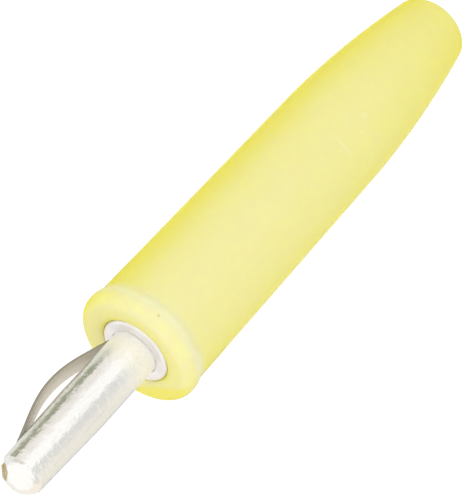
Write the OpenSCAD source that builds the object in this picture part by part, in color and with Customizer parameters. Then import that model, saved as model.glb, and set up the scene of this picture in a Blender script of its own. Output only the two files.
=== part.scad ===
// Banana plug for 4 mm sockets: a soft moulded sleeve over a turned terminal,
// with a slotted contact pin and one bowed leaf spring in the pin's slot.
// The axis is Z. The plug stands on its cable end at z = 0 and the pin points up.
// The slot, the leaf spring and the clamp screw face -Y.

/* [Insulating sleeve] */
// Length of the sleeve
sleeve_l = 45.5; // [40:0.5:52]
// Diameter of the bead round the front rim
bead_d = 10.5; // [10.2:0.1:11.5]
// Length of the bead, from the front face to where it starts to fall to the body
bead_l = 1.3; // [1.1:0.1:2]
// Rounding of the bead's front edge
bead_round = 1.0; // [0.5:0.1:1.1]
// Length over which the bead falls to the body
bead_fall = 0.9; // [0.5:0.1:2]
// Diameter of the grip behind the bead
grip_d = 10.1; // [9.6:0.1:11]
// Length of the tapered cable end
taper_l = 17.3; // [12:0.1:20]
// Diameter at the cable end
tail_d = 7.2; // [6.4:0.1:8.4]
// How late the taper bends in: 1 is a straight cone
taper_bend = 1.84; // [1:0.02:2.6]
// Rounding of the outer edge at the cable end
tail_round = 0.4; // [0.2:0.05:0.6]
// Diameter of the cable passage
cable_d = 4.0; // [3:0.1:4.6]
// Rounding of the cable passage's mouth
cable_round = 0.4; // [0.1:0.05:0.5]
// Width of the flat front face, between the rounded mouth and the bead's rounding
rim_flat = 0.25; // [0.15:0.05:0.6]

/* [Terminal body] */
// Diameter of the terminal body, the metal ring seen in the sleeve's mouth
terminal_d = 6.0; // [5.4:0.1:6.2]
// Length of the terminal body
terminal_l = 22.1; // [20:0.1:24]
// How far the ring lies behind the sleeve's front face
ring_sink = 0.15; // [0:0.05:1]
// Rounding of the ring's front edge
ring_round = 0.3; // [0.1:0.05:0.5]
// Chamfer of the terminal body's wire end
terminal_chamfer = 0.2; // [0.1:0.05:0.4]
// Diameter of the hole for the bared conductor
wire_d = 2.0; // [1.6:0.1:2.4]
// Depth of the hole for the bared conductor
wire_depth = 12; // [8:0.5:12]
// Countersink of that hole
wire_lead = 0.3; // [0.1:0.05:0.5]
// Number of gripping grooves turned in the terminal body
groove_count = 3; // [1:1:4]
// Spacing of the gripping grooves
groove_pitch = 1.4; // [1.2:0.1:1.6]
// Depth of a gripping groove
groove_depth = 0.25; // [0.1:0.05:0.4]
// First gripping groove, measured from the ring
groove_start = 3.5; // [2:0.1:4.5]

/* [Contact pin] */
// Free length of the pin in front of the sleeve
pin_l = 14.5; // [12:0.5:18]
// Diameter of the pin at its root
pin_d = 4.0; // [3.7:0.05:4.1]
// Diameter of the pin at its tip
pin_tip_d = 3.56; // [3.3:0.02:3.7]
// Length of the straight part in front of the sleeve
pin_straight = 6.5; // [2:0.5:9]
// Radius of the tip's rounding
tip_round = 1.75; // [1.2:0.05:1.8]
// Slope of the tip's rounding where it meets the pin's side, in degrees
tip_edge = 20; // [5:1:35]
// Length of the tang pressed into the terminal body
tang_l = 7.6; // [6:0.1:9]
// Chamfer of the tang's end
tang_chamfer = 0.3; // [0.1:0.05:0.6]
// Depth of the slot, from the pin's side at its root
slot_depth = 0.95; // [0.8:0.05:1.1]

/* [Leaf spring] */
// Width of the leaf
leaf_w = 1.65; // [1.1:0.05:1.8]
// Thickness of the leaf
leaf_t = 0.2; // [0.16:0.02:0.3]
// Height of the relaxed leaf's crown above its ends
leaf_bow = 1.95; // [1.2:0.05:2.1]
// Crown's distance in front of the sleeve's front face
crown_at = 5.9; // [5:0.05:6.5]
// Distance of the leaf's front end behind the pin's tip
leaf_back = 0.5; // [0.3:0.05:0.8]
// Length of the bow that lies behind the ring, under the terminal body
leaf_tuck = 2.55; // [2.2:0.05:2.8]
// How far the front half of the bow would run on past the leaf's front end
front_cut = 0.35; // [0.1:0.05:0.6]
// Length of the leaf's flat rear end
flat_rear = 0.6; // [0.3:0.05:0.8]

/* [Clamp screw] */
// Nominal diameter of the screw
screw_d = 2.5; // [2:0.1:3]
// Screw's distance from the terminal body's wire end
screw_at = 5.5; // [3:0.1:7]
// Width of the driver slot
driver_w = 0.5; // [0.3:0.05:0.7]
// Depth of the driver slot
driver_depth = 0.6; // [0.4:0.05:0.8]
// Chamfer of the screw's ends
screw_chamfer = 0.2; // [0.1:0.05:0.4]

/* [Fits] */
// Radial clearance of the terminal body in the sleeve
sleeve_gap = 0.05; // [0.02:0.01:0.1]
// Gap between the terminal body's end and its seat in the sleeve
seat_gap = 0.05; // [0.02:0.01:0.2]
// Radial gap of the pressed tang in the terminal body
press_gap = 0.01; // [0.005:0.005:0.02]
// Clearance of the leaf on each side of its slot
leaf_side_gap = 0.05; // [0.02:0.01:0.1]
// Gap under the leaf's ends
leaf_floor_gap = 0.02; // [0.01:0.01:0.05]
// Room behind the leaf's rear end, which moves back when the leaf is pressed flat
leaf_slack = 0.9; // [0.7:0.1:1.5]
// Radial clearance of the screw in its hole
screw_gap = 0.05; // [0.02:0.01:0.1]
// How far the rim of the screw's outer end lies below the terminal body's surface
screw_sink = 0.06; // [0.02:0.02:0.3]
// How far the screw's end stays clear of the conductor's hole
screw_clear = 0.08; // [0.04:0.02:0.3]

/* [Hidden] */
$fn = 96;

// Points on a quarter or a part of it
round_steps = 8;
// Points along the bead's fall, the taper and each half of the leaf
curve_steps = 16;
// Overshoot of the cutting bodies
cut = 1;

bore_r = terminal_d / 2 + sleeve_gap;
mouth_round = bead_d / 2 - bead_round - rim_flat - bore_r;
ring_z = sleeve_l - ring_sink;
wire_end_z = ring_z - terminal_l;
seat_z = wire_end_z - seat_gap;
tip_z = sleeve_l + pin_l;
tang_z = ring_z - tang_l;
slot_w = leaf_w + 2 * leaf_side_gap;
slot_floor = pin_d / 2 - slot_depth;
leaf_low = slot_floor + leaf_floor_gap;
crown_z = sleeve_l + crown_at;
front_l = tip_z - leaf_back - crown_z;
rise_front = front_l + front_cut;
rise_rear = crown_z - ring_z + leaf_tuck;
leaf_end_z = ring_z - leaf_tuck - flat_rear;
slot_end_z = leaf_end_z - leaf_slack;
screw_z = wire_end_z + screw_at;

// Points (radius, height) of a rounding about a centre, from one angle to another
function rounding(centre, radius, from, to) = [
    for (i = [0 : round_steps])
        let (a = from + (to - from) * i / round_steps)
            centre + radius * [cos(a), sin(a)]
];

// Smooth step from 0 to 1
function ease(k) = k * k * (3 - 2 * k);

// Sleeve's half section: front mouth, bead, grip, taper, cable end and the stepped passage
function sleeve_section() = concat(
    rounding([bore_r + mouth_round, sleeve_l - mouth_round], mouth_round, 180, 90),
    rounding([bead_d / 2 - bead_round, sleeve_l - bead_round], bead_round, 90, 0),
    [
        for (i = [0 : curve_steps])
            let (k = i / curve_steps)
                [bead_d / 2 + (grip_d - bead_d) / 2 * ease(k), sleeve_l - bead_l - bead_fall * k]
    ],
    [
        for (i = [0 : curve_steps - 1])
            let (k = i / curve_steps)
                [
                    grip_d / 2 - (grip_d - tail_d) / 2 * pow(k, taper_bend),
                    taper_l - (taper_l - tail_round) * k
                ]
    ],
    rounding([tail_d / 2 - tail_round, tail_round], tail_round, 0, -90),
    rounding([cable_d / 2 + cable_round, cable_round], cable_round, -90, -180),
    [[cable_d / 2, seat_z], [bore_r, seat_z]]
);

// Terminal body's outline from the wire end up to the ring, with its gripping grooves
function terminal_section() = concat(
    [[0, wire_end_z], [terminal_d / 2 - terminal_chamfer, wire_end_z]],
    [[terminal_d / 2, wire_end_z + terminal_chamfer]],
    [
        for (i = [groove_count - 1 : -1 : 0], p = [[0, 1], [1, 0], [0, -1]])
            [
                terminal_d / 2 - groove_depth * p[0],
                ring_z - groove_start - groove_pitch * i - groove_depth * p[1]
            ]
    ],
    rounding([terminal_d / 2 - ring_round, ring_z - ring_round], ring_round, 0, 90),
    [[0, ring_z]]
);

// Pin's outline from the end of the tang up to the rounded tip
function pin_section() =
    let (
        centre_r = pin_tip_d / 2 - tip_round * cos(tip_edge),
        centre_z = tip_z - tip_round
    )
    concat(
        [[0, tang_z], [pin_d / 2 - tang_chamfer, tang_z], [pin_d / 2, tang_z + tang_chamfer]],
        [[pin_d / 2, sleeve_l + pin_straight]],
        rounding([centre_r, centre_z], tip_round, tip_edge, 90),
        [[0, tip_z]]
    );

// Height of the leaf's inner face above its seat, and its slope, at a distance from the crown
function bow(x) = leaf_bow * (1 + cos(180 * x / rise(x))) / 2;
function bow_slope(x) = -leaf_bow * PI / 2 / rise(x) * sin(180 * x / rise(x));
function rise(x) = x > 0 ? rise_front : rise_rear;

// Points (distance from the axis, height) of one face of the leaf, from the flat rear end to the front end
function leaf_face(offset_t) = concat(
    [[leaf_low + offset_t, leaf_end_z]],
    [
        for (i = [-curve_steps : curve_steps])
            let (
                x = i / curve_steps * (i > 0 ? front_l : rise_rear),
                tilt = atan(bow_slope(x))
            )
            [leaf_low + bow(x) + offset_t * cos(tilt), crown_z + x - offset_t * sin(tilt)]
    ]
);

// The last elements first
function reversed(list) = [for (i = [len(list) - 1 : -1 : 0]) list[i]];

// Soft moulded sleeve with the bead at its mouth and the stepped passage inside
module insulating_sleeve() {
    color([0.93, 0.89, 0.42])
        rotate_extrude() polygon(sleeve_section());
}

// Turned terminal: pin socket in front, conductor hole behind, tapped cross hole for the screw
module terminal_body() {
    color([0.86, 0.85, 0.86])
        difference() {
            rotate_extrude() polygon(terminal_section());
            translate([0, 0, tang_z - press_gap])
                cylinder(r = pin_d / 2 + press_gap, h = tang_l + cut);
            translate([0, 0, wire_end_z - cut])
                cylinder(d = wire_d, h = wire_depth + cut);
            translate([0, 0, wire_end_z])
                cylinder(r1 = wire_d / 2 + wire_lead, r2 = wire_d / 2, h = wire_lead);
            translate([0, 0, screw_z])
                rotate([90, 0, 0])
                    cylinder(r = screw_d / 2 + screw_gap, h = terminal_d / 2 + cut);
        }
}

// Turned pin with a milled slot that runs out through the tip
module contact_pin() {
    color([0.88, 0.87, 0.84])
        difference() {
            rotate_extrude() polygon(pin_section());
            translate([-slot_w / 2, -pin_d, slot_end_z])
                cube([slot_w, pin_d - slot_floor, tip_z - slot_end_z + cut]);
        }
}

// Bowed strip that lies in the slot by its ends
module leaf_spring() {
    color([0.56, 0.50, 0.42])
        translate([-leaf_w / 2, 0, 0])
            rotate([0, 90, 0])
                rotate(180)
                    linear_extrude(leaf_w)
                        polygon([
                            for (p = concat(leaf_face(0), reversed(leaf_face(leaf_t))))
                                [p[1], p[0]]
                        ]);
}

// Slotted grub screw, backed out clear of the conductor's hole
module clamp_screw() {
    screw_r = screw_d / 2;
    inner = wire_d / 2 + screw_clear;
    outer = sqrt(pow(terminal_d / 2 - screw_sink, 2) - pow(screw_r - screw_chamfer, 2));
    color([0.72, 0.72, 0.74])
        translate([0, 0, screw_z])
            rotate([90, 0, 0])
                difference() {
                    rotate_extrude()
                        polygon([
                            [0, inner],
                            [screw_r - screw_chamfer, inner],
                            [screw_r, inner + screw_chamfer],
                            [screw_r, outer - screw_chamfer],
                            [screw_r - screw_chamfer, outer],
                            [0, outer]
                        ]);
                    translate([-screw_d, -driver_w / 2, outer - driver_depth])
                        cube([2 * screw_d, driver_w, driver_depth + cut]);
                }
}

insulating_sleeve();
terminal_body();
contact_pin();
leaf_spring();
clamp_screw();
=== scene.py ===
import math

import bpy
import numpy as np
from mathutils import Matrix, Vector


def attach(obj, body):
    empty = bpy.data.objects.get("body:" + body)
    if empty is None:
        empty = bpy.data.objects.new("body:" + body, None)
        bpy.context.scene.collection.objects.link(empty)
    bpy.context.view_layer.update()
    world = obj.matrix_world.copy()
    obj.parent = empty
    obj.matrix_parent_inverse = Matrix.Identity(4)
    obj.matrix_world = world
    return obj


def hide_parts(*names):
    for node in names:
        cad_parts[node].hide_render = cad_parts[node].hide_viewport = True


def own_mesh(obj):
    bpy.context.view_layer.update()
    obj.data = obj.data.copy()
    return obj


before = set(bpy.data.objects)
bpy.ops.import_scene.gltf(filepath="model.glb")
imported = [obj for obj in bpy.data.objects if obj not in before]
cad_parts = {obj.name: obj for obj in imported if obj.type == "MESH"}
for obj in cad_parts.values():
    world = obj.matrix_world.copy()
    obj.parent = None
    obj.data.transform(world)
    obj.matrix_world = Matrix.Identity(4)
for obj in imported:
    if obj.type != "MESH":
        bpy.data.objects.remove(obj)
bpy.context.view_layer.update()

# Insulating sleeve: one soft piece of translucent yellow plastic, injection moulded, with a rounded
# bead at the mouth and a cable end that tapers in a curve. It is pushed over the terminal body and
# grips it. A few handling marks show on the grip and the bead.
mm = 0.001
sleeve_l, bead_r, grip_r, tail_r = 45.5, 5.25, 5.05, 3.6
bead_round, fall_top, fall_l = 1.0, 44.2, 0.9
taper_l, taper_power, end_round = 17.3, 1.84, 0.4
passage_r, bore_r, seat_z, bore_top = 2.0, 3.05, 23.2, 44.0
lip_r, lip_wide, lip_high = 4.0, 0.985, 0.35


class Shade:
    """A node tree's output socket. Arithmetic on it adds Math nodes to the tree."""

    def __init__(self, tree, socket=None):
        self.tree = tree
        self.socket = socket

    def node(self, kind, settings=None, inputs=None, out=0):
        """Adds a node, sets its settings and ramp stops, fills its sockets, gives back one output."""
        made = self.tree.nodes.new(kind)
        for name, value in (settings or {}).items():
            if name == "stops":
                ramp = made.color_ramp.elements
                while len(ramp) < len(value):
                    ramp.new(1.0)
                for stop, (place, colour) in zip(ramp, value):
                    stop.position = place
                    stop.color = (*colour, 1.0)
            else:
                setattr(made, name, value)
        for name, value in (inputs or {}).items():
            if isinstance(value, Shade):
                self.tree.links.new(value.socket, made.inputs[name])
            else:
                made.inputs[name].default_value = value
        return Shade(self.tree, made.outputs[out] if made.outputs else None)

    def math(self, operation, a, b=0.0):
        return self.node("ShaderNodeMath", {"operation": operation}, {0: a, 1: b})

    def __add__(self, other):
        return self.math("ADD", self, other)

    def __sub__(self, other):
        return self.math("SUBTRACT", self, other)

    def __rsub__(self, other):
        return self.math("SUBTRACT", other, self)

    def __mul__(self, other):
        return self.math("MULTIPLY", self, other)

    def __truediv__(self, other):
        return self.math("DIVIDE", self, other)

    __radd__ = __add__
    __rmul__ = __mul__

    def step(self, low, high):
        """0 below low, 1 above high, smooth between; low may be the larger one."""
        return self.node(
            "ShaderNodeMapRange",
            {"interpolation_type": "SMOOTHSTEP"},
            {"Value": self, "From Min": low, "From Max": high},
        )

    def mix(self, factor, a, b):
        """Colour a where factor is 0 and b where it is 1."""
        return self.node("ShaderNodeMix", {"data_type": "RGBA"}, {0: factor, 6: a, 7: b}, out=2)

    def place(self):
        """Object coordinates."""
        return self.node("ShaderNodeTexCoord", out=3)

    def axes(self, place):
        """The three coordinates of a place."""
        return [self.node("ShaderNodeSeparateXYZ", None, {"Vector": place}, out=n) for n in range(3)]

    def noise(self, place, scale, detail=2.0, rough=0.5):
        """Noise value at a place, scale in cells a metre."""
        return self.node(
            "ShaderNodeTexNoise",
            None,
            {"Vector": place, "Scale": scale, "Detail": detail, "Roughness": rough},
        )

    def stretch(self, place, scale):
        """Place with each axis multiplied by its own scale."""
        return self.node("ShaderNodeMapping", None, {"Vector": place, "Scale": scale})

    def mark(self, place, middle, half, turn=0.0):
        """1 in the middle of a small ellipsoid turned about Z by some degrees, 0 outside it; sizes in mm."""
        local = self.node("ShaderNodeMapping", {"vector_type": "TEXTURE"}, {
            "Vector": place,
            "Location": [v * mm for v in middle],
            "Rotation": (0, 0, math.radians(turn)),
            "Scale": [v * mm for v in half],
        })
        return self.node("ShaderNodeVectorMath", {"operation": "LENGTH"}, {0: local}, out=1).step(1.0, 0.3)

    def bump(self, height, strength, distance):
        """Normal of a surface raised by height times a distance in mm."""
        return self.node("ShaderNodeBump", None, {"Strength": strength, "Distance": distance * mm, "Height": height})


def finish(name, constants):
    """A new material with one Principled shader whose constant sockets are set. Gives the material, a Shade on its
    tree and the shader."""
    material = bpy.data.materials.new(name)
    material.use_nodes = True
    tree = material.node_tree
    shader = tree.nodes["Principled BSDF"]
    for socket, value in constants.items():
        shader.inputs[socket].default_value = value
    return material, Shade(tree), shader


def feed(shade, shader, **sockets):
    """Links values to the shader's sockets; underscores in the names stand for blanks."""
    for name, value in sockets.items():
        shade.tree.links.new(value.socket, shader.inputs[name.replace("_", " ")])


def surface(name, *grids, close_rows=False, caps=False, crease=None):
    """Mesh object from grids of points (rows, columns, 3). Columns close on themselves; rows do too where said.
    With rows running downwards and columns anticlockwise seen from above the faces point outwards. Caps fill the
    first and last row."""
    points, faces = [], []
    for grid in grids:
        rows, columns = grid.shape[:2]
        start = sum(len(p) for p in points)
        i = np.arange(rows if close_rows else rows - 1)[:, None]
        j = np.arange(columns)[None, :]
        below, beside = (i + 1) % rows, (j + 1) % columns
        quads = [i * columns + j, below * columns + j, below * columns + beside, i * columns + beside]
        faces += (start + np.stack(quads, axis=-1).reshape(-1, 4)).tolist()
        if caps:
            faces.append(list(range(start, start + columns)))
            faces.append(list(range(start + rows * columns - 1, start + (rows - 1) * columns - 1, -1)))
        points.append(grid.reshape(-1, 3))
    mesh = bpy.data.meshes.new(name)
    mesh.from_pydata(np.concatenate(points).tolist(), [], faces)
    mesh.validate()
    mesh.shade_smooth()
    if crease is not None:
        mesh.set_sharp_from_angle(angle=math.radians(crease))
    made = bpy.data.objects.new(name, mesh)
    bpy.context.scene.collection.objects.link(made)
    return made


def arc(centre, radius, start, end, count):
    """Points (radius, height) on an arc about a centre, angles in degrees; two radii give an elliptic arc."""
    a = np.radians(np.linspace(start, end, count))
    across, up = radius if isinstance(radius, tuple) else (radius, radius)
    return np.stack([centre[0] + across * np.cos(a), centre[1] + up * np.sin(a)], axis=1)


def turned(profile, count):
    """Surface of revolution: each profile point (radius, height) is carried round the Z axis in equal steps."""
    a = np.linspace(0, 2 * np.pi, count, endpoint=False)
    r, z = profile[:, 0, None], profile[:, 1, None]
    return np.stack([r * np.cos(a), r * np.sin(a), z + 0 * a], axis=-1)


def sleeve_profile():
    """Half section of the sleeve as a closed loop: mouth rounding, front face, bead rounding, smoothstep fall to the
    grip, grip, power-law taper, rounded cable end, then up the cable passage and the wider bore to the lip that
    hugs the terminal's ring up to its edge. The small offsets only set extra rows beside the roundings, so that
    smooth shading doesn't run across them."""
    k = np.linspace(0, 1, 24)
    fall = np.stack([bead_r - (bead_r - grip_r) * k * k * (3 - 2 * k), fall_top - fall_l * k], axis=1)
    grip = np.linspace((grip_r, fall_top - fall_l - 0.2), (grip_r, taper_l + 0.2), 40)
    t = np.linspace(0, 1, 60)[:-1]
    taper = np.stack([grip_r - (grip_r - tail_r) * t**taper_power, taper_l - (taper_l - end_round) * t], axis=1)
    passage = np.linspace((passage_r, end_round + 0.2), (passage_r, seat_z), 24)
    shelf = np.linspace((passage_r + 0.15, seat_z), (bore_r, seat_z), 5)
    bore = np.linspace((bore_r, seat_z + 0.3), (bore_r, bore_top), 24)
    return mm * np.concatenate([
        arc((lip_r, sleeve_l - lip_high), (lip_wide, lip_high), 180, 90, 20),
        np.array([[lip_r + 0.08, sleeve_l], [lip_r + 0.17, sleeve_l]]),
        arc((bead_r - bead_round, sleeve_l - bead_round), bead_round, 90, 0, 20),
        np.array([[bead_r, fall_top + 0.2], [bead_r, fall_top + 0.1]]),
        fall, grip, taper,
        arc((tail_r - end_round, end_round), end_round, 0, -90, 10),
        np.array([[tail_r - 0.6, 0.0], [passage_r + 0.7, 0.0]]),
        arc((passage_r + end_round, end_round), end_round, -90, -180, 10),
        passage, shelf, bore,
    ])


sleeve = surface("soft_sleeve", turned(sleeve_profile(), 192), close_rows=True, crease=60)

sleeve_plastic, shade, shader = finish("soft_yellow_plastic", {
    "Subsurface Weight": 1.0,
    "Subsurface Radius": (1.0, 0.9, 0.4),
    "Subsurface Scale": 0.5 * mm,
    "IOR": 1.48,
    "Specular IOR Level": 0.22,
    "Coat IOR": 1.04,
    "Coat Tint": (1.0, 0.975, 0.48, 1),
})
place = shade.place()
cloud = shade.noise(place, 230, 3)
grain = shade.noise(place, 9000, 2)
hairline = shade.noise(shade.stretch(place, (2600, 2600, 260)), 1.0, 1.0)
scratch = hairline.step(0.735, 0.775) * shade.noise(place, 420, 1).step(0.5, 0.6)
x, y, height = shade.axes(place)
# Paler on the bead. Painted light: a painted highlight along the bead's ridge; the front face, the far
# side of the bead and one side of the grip painted paler as lit; the other side of the grip and one side
# of the mouth painted a deeper gold as shade.
front = height.step(0.0430, 0.0438)
belt = front * height.step(0.0450, 0.0443)
# Painted highlight: a paler band along the bead's ridge, broken by noise.
painted_crest_highlight = height.step(0.0433, 0.0438) * height.step(0.0445, 0.0440)
painted_crest_highlight = painted_crest_highlight * shade.noise(place, 520, 2).step(0.3, 0.65)
# Painted light: the far side of the bead and the front face are painted paler, as lit surfaces.
rear = height.step(0.0440, 0.0448) * (x * 0.91 - y * 0.41).step(0.0005, 0.0030)
face = shade.math("MAXIMUM", height.step(0.0452, 0.0455), rear)
across = x * 0.41 + y * 0.91
# Painted light: one side of the grip is painted paler, as its lit side.
painted_lit_side = across.step(0.0015, 0.0050) * (1.0 - face)
# Painted shade: the other side of the grip is painted a deeper gold.
painted_shade_side = across.step(-0.0020, -0.0048) * (1.0 - front)
# Painted shade: one side of the mouth's flare and lip is painted a deeper gold.
painted_mouth_shade = height.step(0.0450, 0.0454) * (x * 0.83 + y * 0.55).step(0.0031, 0.0037)
rim = height.step(0.0430, 0.0443) * height.step(0.0456, 0.0450)
scuff = rim * shade.noise(place, 700, 3).step(0.48, 0.66)
nick = shade.mark(place, (-3.92, 3.18, 20.68), (1.9, 0.9, 0.15), 231)
dots = shade.mark(place, (-3.73, 3.40, 18.22), (0.25, 0.25, 0.25))
dots = dots + shade.mark(place, (-4.24, 2.74, 16.93), (0.4, 0.4, 0.4)) * 0.6
speck = shade.mark(place, (-4.96, 1.70, 44.64), (0.16, 0.16, 0.11))
tone = shade.mix(cloud.step(0.35, 0.7), (0.965, 0.89, 0.93, 1), (0.97, 0.90, 1.0, 1))
tone = shade.mix(painted_shade_side * 0.8, tone, (0.97, 0.88, 0.72, 1))
# Pale wear from scuffs, the scratch, the nick and dots, together with the painted highlight on the bead's ridge.
pale_wear_and_highlight = scuff * 0.5 + painted_crest_highlight * 0.5 + scratch * 0.3 + nick * 0.8 + dots * 0.8
tone = shade.mix(pale_wear_and_highlight, tone, (1.0, 0.95, 1.0, 1))
tone = shade.mix(painted_mouth_shade * 0.8, tone, (0.95, 0.86, 0.35, 1))
tone = shade.mix(speck * 0.6, tone, (0.50, 0.48, 0.35, 1))
relief = shade.bump(grain * 0.6 + scratch * 0.8 + nick * 1.5 + cloud, 0.25, 0.02)
feed(shade, shader, Base_Color=tone, Roughness=0.38 + cloud * 0.16 + scuff * 0.2, Normal=relief)
# A thinner yellow coat makes these places paler: the bead, the nick and dots, and as painted light the ridge highlight,
# the front face and the lit side of the grip.
paler = belt * 0.26 + painted_crest_highlight * 0.10 + face * 0.18 + painted_lit_side * 0.14 + (nick + dots) * 0.2
feed(shade, shader, Coat_Weight=1.0 - paler)
sleeve.data.materials.append(sleeve_plastic)
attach(sleeve, "sleeve")
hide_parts("insulating_sleeve")

# Terminal body: turned from brass rod and nickel plated. Its front ring shows in the sleeve's mouth;
# the rear part with the tapped cross hole for the clamp screw lies inside. The CAD solid has its
# shape, so it only gets its finish: turning rings on the face and a dark ring round the pin, partly
# the seam's own dark line and partly painted shade where the pin meets the ring.
plated_terminal, shade, shader = finish("plated_terminal", {"Metallic": 1.0})
place = shade.place()
x, y, z = shade.axes(place)
radius = shade.math("SQRT", x * x + y * y)
front = z.step(0.0446, 0.0450)
rings = shade.noise(shade.node("ShaderNodeCombineXYZ", None, {"X": radius * 16000, "Y": z * 14000}), 1.0, 2.0)
bloom = shade.noise(place, 900, 3)
# Dark ring round the pin's root: the seam's own line and painted shade where the pin meets the ring.
dark_joint_and_shade = front * radius.step(0.00216, 0.00203)
tone = shade.mix(bloom.step(0.3, 0.75), (0.82, 0.80, 0.79, 1), (0.91, 0.89, 0.88, 1))
tone = shade.mix(dark_joint_and_shade * bloom.step(0.35, 0.65) * 0.7, tone, (0.24, 0.21, 0.17, 1))
relief = shade.bump(rings + bloom * 0.5, 0.3, 0.01)
feed(shade, shader, Base_Color=tone, Roughness=0.30 + bloom * 0.2, Normal=relief)
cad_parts["terminal_body"].data.materials.clear()
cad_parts["terminal_body"].data.materials.append(plated_terminal)

# Contact pin: turned, then slotted on one side with a cutter and bright nickel plated. The slot runs
# out through the rounded tip, where the brass shows through at its edge. The tang behind the ring is
# pressed into the terminal body.
tip_z, tip_r, tip_round, tip_turn, cap_r = 60.0, 1.78, 1.75, 20, 0.02
pin_r, straight_z, tang_z, tang_chamfer = 2.0, 52.0, 37.75, 0.3
slot_half, slot_floor, slot_end, slot_break = 0.875, 1.05, 41.3, 0.07


def pin_profile():
    """Radii and heights of the pin from the tip down: a small flat, the tip's arc, the long taper, the straight root
    and the chamfered tang."""
    middle = tip_r - tip_round * math.cos(math.radians(tip_turn))
    flat = np.linspace((cap_r, tip_z), (middle, tip_z), 4)[:-1]
    dome = arc((middle, tip_z - tip_round), tip_round, 90, tip_turn, 48)
    taper = np.linspace(dome[-1], (pin_r, straight_z), 90)[1:]
    root = np.linspace((pin_r, straight_z - 0.2), (pin_r, tang_z + tang_chamfer), 60)
    tang = np.linspace(root[-1], (pin_r - tang_chamfer, tang_z), 3)[1:]
    return np.concatenate([flat, dome, taper, root, tang])


def slotted_pin():
    """Each section is a circle of the pin's radius whose -Y side is cut by a slot: the arc between the slot's two
    edges, with the edges broken by a small rounding, then a wall, the slot floor and the other wall. Where the
    radius is too small for the slot the corners slide together along the circle. Behind the slot's end the floor
    rises to the circle."""
    profile = pin_profile()
    r, z = profile[:, 0, None], profile[:, 1, None]
    depth = np.where(z > slot_end, slot_floor, np.inf)
    corner = np.sqrt(np.maximum(r**2 - np.minimum(depth, r) ** 2, 0))
    x = np.minimum(slot_half, corner)
    edge_angle = np.arcsin(np.clip(x / r, 0, 1))
    top = np.sqrt(np.maximum(r**2 - x**2, 0))
    bottom = np.minimum(depth, top)
    break_ = np.minimum(slot_break, (top - bottom) / 2)
    spread = edge_angle + break_ / r
    a = -np.pi / 2 + spread + np.linspace(0, 1, 150)[None, :] * (2 * np.pi - 2 * spread)
    arc_x, arc_y = r * np.cos(a), r * np.sin(a)
    bend = np.array([0.35, 0.75, 1.0])[None, :] * np.pi / 2
    down = np.linspace(0, 1, 5)[None, 1:]
    bend_x = x + break_ * (1 - np.sin(bend))
    bend_y = -top + break_ * (1 - np.cos(bend))
    wall_y = (break_ - top) + (top - bottom - break_) * down
    across = np.linspace(-1, 1, 9)[None, 1:-1]
    left_x = np.concatenate([-bend_x, -x + 0 * down], axis=1)
    left_y = np.concatenate([bend_y, wall_y], axis=1)
    sx = np.concatenate([arc_x, left_x, x * across, -left_x[:, ::-1]], axis=1)
    sy = np.concatenate([arc_y, left_y, -bottom + 0 * across, left_y[:, ::-1]], axis=1)
    return mm * np.stack([sx, sy, z + 0 * sx], axis=-1)


pin = surface("slotted_pin", slotted_pin(), caps=True, crease=40)

plated_pin, shade, shader = finish("bright_plated_pin", {})
place = shade.place()
_, y, z = shade.axes(place)
lathe = shade.noise(shade.stretch(place, (120, 120, 9000)), 1.0, 2.0)
peel = shade.noise(place, 1700, 2)
wear = shade.noise(shade.stretch(place, (2600, 2600, 350)), 1.0, 3.0).step(0.55, 0.75)
# Duller towards the root, where it is rougher, less metallic and painted paler as a highlight; bare brass
# at the tip beside the slot.
root = z.step(0.0495, 0.0455)
ragged = shade.noise(place, 3200, 3)
patch = shade.mark(place, (-0.40, -0.90, 59.60), (1.05, 0.85, 0.95)) + (ragged - 0.5) * 1.3
bare = patch.step(0.25, 0.55) * y.step(-0.00015, -0.00035)
brass = shade.mix(ragged.step(0.3, 0.7), (0.40, 0.31, 0.15, 1), (0.56, 0.45, 0.25, 1))
tone = shade.mix(wear, (0.90, 0.885, 0.85, 1), (0.84, 0.82, 0.77, 1))
# Painted highlight: the root is painted paler.
tone = shade.mix(root, tone, (0.97, 0.96, 0.94, 1))
tone = shade.mix(bare * 0.95, tone, brass)
relief = shade.bump(lathe * 0.2 + peel, 0.8, 0.09)
feed(shade, shader, Base_Color=tone, Metallic=1.0 - root * 0.6, Normal=relief)
feed(shade, shader, Roughness=0.14 + wear * 0.12 + lathe * 0.06 + root * 0.4)
pin.data.materials.append(plated_pin)
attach(pin, "contact")
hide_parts("contact_pin")

# Leaf spring: a strip of hard bronze, blanked, bowed and dull plated; its cut end stays bare. The ends
# lie in the pin's slot and the bow gives way when the plug goes into its socket. The inner face is painted
# pale and nearly matte, as light where it lies in shade, and darker towards its -X edge as painted shade;
# the outer face shows the bronze as metal.


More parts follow.
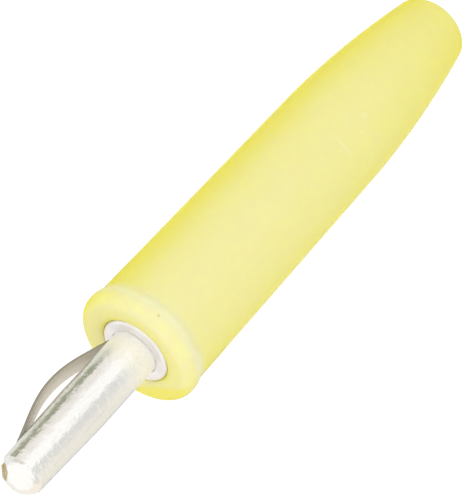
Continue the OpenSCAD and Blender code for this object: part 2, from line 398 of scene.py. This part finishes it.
def bowed_leaf():
    """A rounded rectangle carried along the leaf. The inner face is a raised cosine above the slot floor, with its own
    half length on each side of the crown; the front half is cut before it runs out and the rear end is flat. The
    section stands square to that curve."""
    low, bow, thick, half, soft = 1.07, 1.95, 0.2, 0.825, 0.05
    crown, front, front_span, rear, rear_flat = 51.4, 8.1, 8.45, 8.6, 0.6
    x = np.concatenate([
        np.linspace(front, 0, 74), np.linspace(0, -rear, 70)[1:], -rear - np.linspace(0.02, rear_flat, 5),
    ])
    span = np.where(x > 0, front_span, rear)
    inside = x > -rear
    lift = np.where(inside, bow * (1 + np.cos(np.pi * x / span)) / 2, 0)
    slope = np.where(inside, -bow * np.pi / 2 / span * np.sin(np.pi * x / span), 0)
    out_y, out_z = 1 / np.sqrt(1 + slope**2), -slope / np.sqrt(1 + slope**2)
    corners = [
        (half - soft, thick - soft, 0), (soft - half, thick - soft, 90),
        (soft - half, soft, 180), (half - soft, soft, 270),
    ]
    section = np.concatenate([arc((cx, cy), soft, start, start + 90, 6) for cx, cy, start in corners])[::-1]
    across, up = section[None, :, 0], section[None, :, 1]
    y = -(low + lift[:, None] + up * out_y[:, None])
    z = crown + x[:, None] + up * out_z[:, None]
    return mm * np.stack([across + 0 * y, y, z], axis=-1)


strip = bowed_leaf()
leaf = surface("bowed_leaf", strip, caps=True, crease=50)
rubbed = leaf.data.attributes.new("rubbed", "FLOAT", "POINT")
rubbed.data.foreach_set("value", np.tile(np.repeat([0.0, 1.0], strip.shape[1] // 2), len(strip)))

spring_bronze, shade, shader = finish("dull_spring_bronze", {})
place = shade.place()
x, _, z = shade.axes(place)
outer = shade.node("ShaderNodeAttribute", {"attribute_name": "rubbed"}, out=2)
rolled = shade.noise(shade.stretch(place, (9000, 900, 300)), 1.0, 3.0)
stain = shade.noise(place, 800, 3)
# The side edges are painted dark, partly as the sheared edges' oxide and partly as a painted dark reflection.
side = shade.math("ABSOLUTE", x).step(0.00077, 0.00082)
end = z.step(0.0592, 0.05945)
# Painted light: the inner face's pale tone stands for light that it doesn't get in its shaded place.
tone = shade.mix(rolled * 0.5 + stain * 0.5, (0.91, 0.85, 0.73, 1), (1.0, 0.95, 0.86, 1))
# Painted shade: the inner face is darker towards its -X edge.
tone = shade.mix(x.step(0.0003, -0.0008) * 0.6, tone, (0.60, 0.54, 0.44, 1))
tone = shade.mix(outer, tone, (0.70, 0.63, 0.51, 1))
tone = shade.mix(side, tone, (0.32, 0.30, 0.22, 1))
tone = shade.mix(end, tone, (0.62, 0.44, 0.18, 1))
relief = shade.bump(rolled, 0.3, 0.01)
feed(shade, shader, Base_Color=tone, Metallic=0.2 + outer * 0.7, Normal=relief)
feed(shade, shader, Roughness=0.42 + stain * 0.2 - outer * 0.16)
leaf.data.materials.append(spring_bronze)
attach(leaf, "leaf")
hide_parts("leaf_spring")
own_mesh(leaf)

# Clamp screw: a slotted M2.5 grub screw of zinc plated steel in the terminal body's tapped hole. It is
# hidden in the sleeve until the contact is pulled out.
screw_in, screw_out, screw_r, screw_z = 1.08, 2.746, 1.25, 28.75
pitch, thread_half, chamfer = 0.45, 0.13, 0.2
driver_floor, driver_half = 2.146, 0.25


def thread_radius(angle, depth):
    """Radius of the thread at an angle and a distance from the plug's axis: a raised cosine of 0.45 mm pitch that
    climbs once a turn, cut off by a 45 degree chamfer at each end."""
    wave = screw_r - thread_half * (1 + np.cos(2 * np.pi * (depth / pitch - angle / (2 * np.pi))))
    return np.minimum(wave, screw_r - chamfer + np.minimum(depth - screw_in, screw_out - depth))


def threaded_core():
    """Threaded cylinder from the driver slot's floor to the screw's inner end, its axis along Y."""
    depth = np.linspace(driver_floor, screw_in, 80)[:, None]
    angle = np.linspace(0, 2 * np.pi, 96, endpoint=False)[None, :]
    r = thread_radius(angle, depth)
    return mm * np.stack([r * np.cos(angle), -depth + 0 * r, screw_z + r * np.sin(angle)], axis=-1)


def threaded_lug(turn):
    """One of the two lugs beside the driver slot: the threaded arc beyond the slot's wall and the flat wall itself."""
    depth = np.linspace(screw_out, driver_floor - 0.02, 50)[:, None]
    edge = math.asin(driver_half / screw_r)
    angle = np.linspace(edge, np.pi - edge, 48)[None, :]
    r = thread_radius(angle + turn, depth)
    x, z = r * np.cos(angle), np.maximum(r * np.sin(angle), driver_half)
    wall = np.linspace(0, 1, 7)[None, 1:-1]
    x = np.concatenate([x, x[:, -1:] + (x[:, :1] - x[:, -1:]) * wall], axis=1)
    z = np.concatenate([z, driver_half + 0 * depth * wall], axis=1)
    c, s = math.cos(turn), math.sin(turn)
    return mm * np.stack([c * x - s * z, -depth + 0 * x, screw_z + s * x + c * z], axis=-1)


screw = surface("threaded_screw", threaded_core(), threaded_lug(0), threaded_lug(math.pi), caps=True, crease=50)

screw_steel, shade, shader = finish("zinc_plated_steel", {"Metallic": 1.0})
place = shade.place()
bloom = shade.noise(place, 2500, 3)
tone = shade.mix(bloom.step(0.35, 0.7), (0.60, 0.60, 0.63, 1), (0.76, 0.76, 0.79, 1))
feed(shade, shader, Base_Color=tone, Roughness=0.28 + bloom * 0.18, Normal=shade.bump(bloom, 0.2, 0.01))
screw.data.materials.append(screw_steel)
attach(screw, "screw")
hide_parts("clamp_screw")

# Studio: a white floor under a white sky, a soft key lamp near the camera and a weaker one overhead,
# pale walls that only show in reflections, and the camera at the photograph's angle.


def seen(shade):
    """1 for camera, glossy and transmission rays, else 0."""
    rays = [shade.node("ShaderNodeLightPath", out=n) for n in ("Is Camera Ray", "Is Glossy Ray", "Is Transmission Ray")]
    return shade.math("MINIMUM", rays[0] + rays[1] + rays[2], 1.0)


def paint(name):
    """A new material with an empty tree, and a Shade on that tree."""
    material = bpy.data.materials.new(name)
    material.use_nodes = True
    material.node_tree.nodes.clear()
    return material, Shade(material.node_tree)


def panel(name, points, material):
    """Stage piece from a grid of points (rows, columns, 3)."""
    rows, columns = points.shape[:2]
    corner = np.arange(rows - 1)[:, None] * columns + np.arange(columns - 1)[None, :]
    faces = np.stack([corner, corner + 1, corner + columns + 1, corner + columns], axis=-1).reshape(-1, 4)
    mesh = bpy.data.meshes.new(name)
    mesh.from_pydata(points.reshape(-1, 3).tolist(), [], faces.tolist())
    mesh.materials.append(material)
    made = bpy.data.objects.new(name, mesh)
    bpy.context.scene.collection.objects.link(made)
    return made


floor_paint, shade = paint("white_floor")
lit = shade.node("ShaderNodeBsdfDiffuse", None, {"Color": (0.85, 0.85, 0.85, 1)})
glow = shade.node("ShaderNodeEmission", None, {"Color": (1, 1, 1, 1), "Strength": 1.2})
both = shade.node("ShaderNodeMixShader", None, {0: seen(shade) * 0.85, 1: lit, 2: glow})
shade.node("ShaderNodeOutputMaterial", None, {"Surface": both})
panel("floor", np.array([[(-3, -3, 0), (3, -3, 0)], [(-3, 3, 0), (3, 3, 0)]], float), floor_paint)

world = bpy.data.worlds.new("studio")
world.use_nodes = True
world.node_tree.nodes.clear()
shade = Shade(world.node_tree)
sky = shade.mix(seen(shade), (0.91, 0.91, 0.91, 1), (1.12, 1.12, 1.12, 1))
back = shade.node("ShaderNodeBackground", None, {"Color": sky, "Strength": 1.0})
shade.node("ShaderNodeOutputWorld", None, {"Surface": back})
bpy.context.scene.world = world


def reflector(name, away, heights, azimuths, stops, strength):
    """Adds a curved wall round the plug between two heights and two azimuths in degrees. Its glow follows the
    azimuth by stops (degrees, colour); only glossy rays meet it."""
    material, shade = paint(name)
    x, y, _ = shade.axes(shade.place())
    turn = shade.math("ARCTAN2", y, x) / (2 * math.pi) + 0.5
    stops = sorted(((degrees + 180) % 360 / 360, colour) for degrees, colour in stops)
    colour = shade.node("ShaderNodeValToRGB", {"stops": stops}, {"Fac": turn})
    glow = shade.node("ShaderNodeEmission", None, {"Color": colour, "Strength": strength})
    shade.node("ShaderNodeOutputMaterial", None, {"Surface": glow})
    a = np.radians(np.linspace(*azimuths, 97))[None, :]
    up = np.array(heights)[:, None]
    points = np.stack([away * np.cos(a) + 0 * up, away * np.sin(a) + 0 * up, up + 0 * a], axis=-1)
    made = panel(name, points, material)
    made.visible_camera = made.visible_diffuse = made.visible_shadow = made.visible_transmission = False


reflector("low_wall", 0.065, (0.0005, 0.044), (0, 360), [
    (13, (0.76, 0.75, 0.71)), (30, (0.80, 0.79, 0.74)), (53, (0.84, 0.81, 0.72)), (77, (0.84, 0.82, 0.76)),
    (97, (0.80, 0.78, 0.75)), (112, (0.72, 0.73, 0.71)), (130, (0.72, 0.73, 0.73)), (140, (0.90, 0.90, 0.90)),
    (150, (1, 1, 1)), (179, (1, 1, 1)), (181, (1, 1, 1)), (202, (0.86, 0.83, 0.81)), (229, (0.76, 0.74, 0.70)),
    (238, (0.42, 0.42, 0.34)), (248, (0.28, 0.29, 0.20)), (259, (0.40, 0.42, 0.33)), (274, (0.72, 0.74, 0.66)),
    (305, (0.77, 0.77, 0.73)), (325, (0.52, 0.52, 0.50)), (352, (0.46, 0.46, 0.45)),
], 1.1)
reflector("back_wall", 0.10, (0.03, 0.12), (240, 432), [(0, (0.92, 0.87, 0.80)), (300, (0.86, 0.85, 0.85))], 1.1)
reflector("brow_wall", 0.065, (0.055, 0.088), (70, 245), [(70, (0.80, 0.79, 0.76)), (245, (0.72, 0.71, 0.67))], 1.0)


def lamp(name, azimuth, elevation, away, size, power):
    """A square soft white lamp that looks at the middle of the plug."""
    data = bpy.data.lights.new(name, "AREA")
    data.size, data.energy = size, power
    made = bpy.data.objects.new(name, data)
    made.visible_camera = False
    bpy.context.scene.collection.objects.link(made)
    a, e = math.radians(azimuth), math.radians(elevation)
    middle = np.array([0, 0, 0.03])
    made.location = middle + away * np.array([math.cos(a) * math.cos(e), math.sin(a) * math.cos(e), math.sin(e)])
    direction = np.array(made.location) - middle
    made.rotation_mode = "QUATERNION"
    made.rotation_quaternion = Vector(direction).to_track_quat("Z", "Y")
    return made


lamp("key_lamp", 154, 14, 0.5, 0.3, 0.32)
top = lamp("top_lamp", 154, 75, 0.5, 0.3, 0.14)
top.visible_glossy = False

eye = bpy.data.cameras.new("eye")
eye.lens, eye.sensor_width = 119.6616, 36.0
eye.clip_start = 0.005
camera = bpy.data.objects.new("camera", eye)
bpy.context.scene.collection.objects.link(camera)
camera.location = (-0.10040264, 0.04518101, 0.10728005)
camera.rotation_mode = "QUATERNION"
camera.rotation_quaternion = (0.51699509, -0.45804804, -0.09484269, 0.71687722)
bpy.context.scene.camera = camera
bpy.context.scene.view_settings.view_transform = "Standard"
